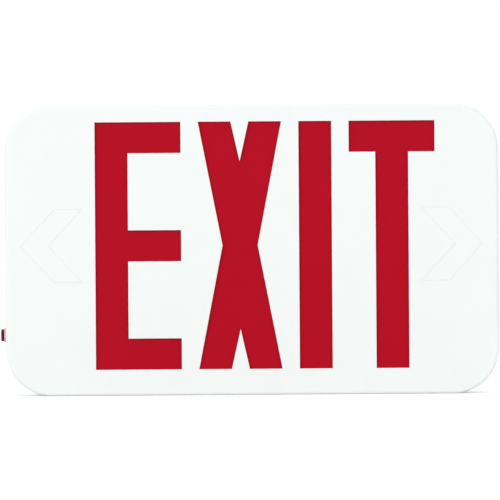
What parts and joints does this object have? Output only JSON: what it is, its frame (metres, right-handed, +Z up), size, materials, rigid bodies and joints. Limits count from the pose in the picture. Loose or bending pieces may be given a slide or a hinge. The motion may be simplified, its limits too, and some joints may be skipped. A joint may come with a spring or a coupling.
{
  "type": "emergency exit light",
  "caption": "Wall-mounted emergency exit light: white case with stencil front, red lens, lighting strips, driver board, battery and test button.",
  "frame": {"origin": "centre of the wire entry, in the plane of the back that goes against the wall", "axes": "+X to the right as the front is seen, +Z up, +Y into the wall; the front faces -Y"},
  "size_m": [0.3082, 0.045, 0.179],
  "materials": {
    "case_white": "fine moulded texture",
    "lens_red": "translucent sheet",
    "button_red": "moulded",
    "bezel_pale": "moulded",
    "switch_black": "moulded",
    "indicator_clear": "translucent",
    "board_green": "solder mask",
    "screw_steel": "zinc plated",
    "core_steel": "varnished laminations",
    "bobbin_nylon": "moulded",
    "winding_tape": "wrapped tape",
    "capacitor_sleeve": "shrink sleeve",
    "film_case": "dipped",
    "relay_case": "moulded",
    "diode_body": "moulded",
    "resistor_body": "lacquered",
    "fuse_body": "lacquered",
    "chip_body": "moulded",
    "sink_aluminium": "extruded",
    "transistor_body": "moulded, tinned tab",
    "terminal_green": "moulded",
    "terminal_brass": "plated",
    "connector_nylon": "moulded",
    "battery_sleeve": "shrink sleeve",
    "bracket_steel": "zinc plated",
    "strip_white": "solder mask",
    "led_package": "moulded",
    "lead_black": "insulation",
    "lead_red": "insulation"
  },
  "bodies": {
    "case": {"back_housing": "case_white", "button_bezel": "bezel_pale", "test_switch_body": "switch_black", "charge_indicator": "indicator_clear", "driver_board": "board_green", "board_screws": "screw_steel", "transformer_core": "core_steel", "transformer_bobbin": "bobbin_nylon", "transformer_winding": "winding_tape", "electrolytic_capacitors": "capacitor_sleeve", "film_capacitor": "film_case", "transfer_relay": "relay_case", "rectifier_diodes": "diode_body", "resistors": "resistor_body", "fuse": "fuse_body", "control_chip": "chip_body", "heat_sink": "sink_aluminium", "power_transistor": "transistor_body", "terminal_block": "terminal_green", "terminal_screws": "terminal_brass", "battery_header": "connector_nylon", "battery_plug": "connector_nylon", "battery_pack": "battery_sleeve", "battery_bracket": "bracket_steel", "bracket_screws": "screw_steel", "led_board_upper": "strip_white", "led_board_lower": "strip_white", "leds_upper": "led_package", "leds_lower": "led_package", "battery_leads": "lead_black", "upper_led_leads": "lead_red", "lower_led_leads": "lead_red"},
    "front": {"face_cover": "case_white", "red_lens": "lens_red"},
    "button": {"test_button": "button_red", "test_switch_plunger": "switch_black"}
  },
  "joints": [
    {"name": "face_release", "type": "slide", "parent": "case", "child": "front", "axis": [0, -1, 0], "range_m": [0, 0.06]},
    {"name": "button_press", "type": "slide", "parent": "case", "child": "button", "axis": [1, 0, 0], "range_m": [0, 0.0015], "stiffness_N_per_m": 600}
  ]
}
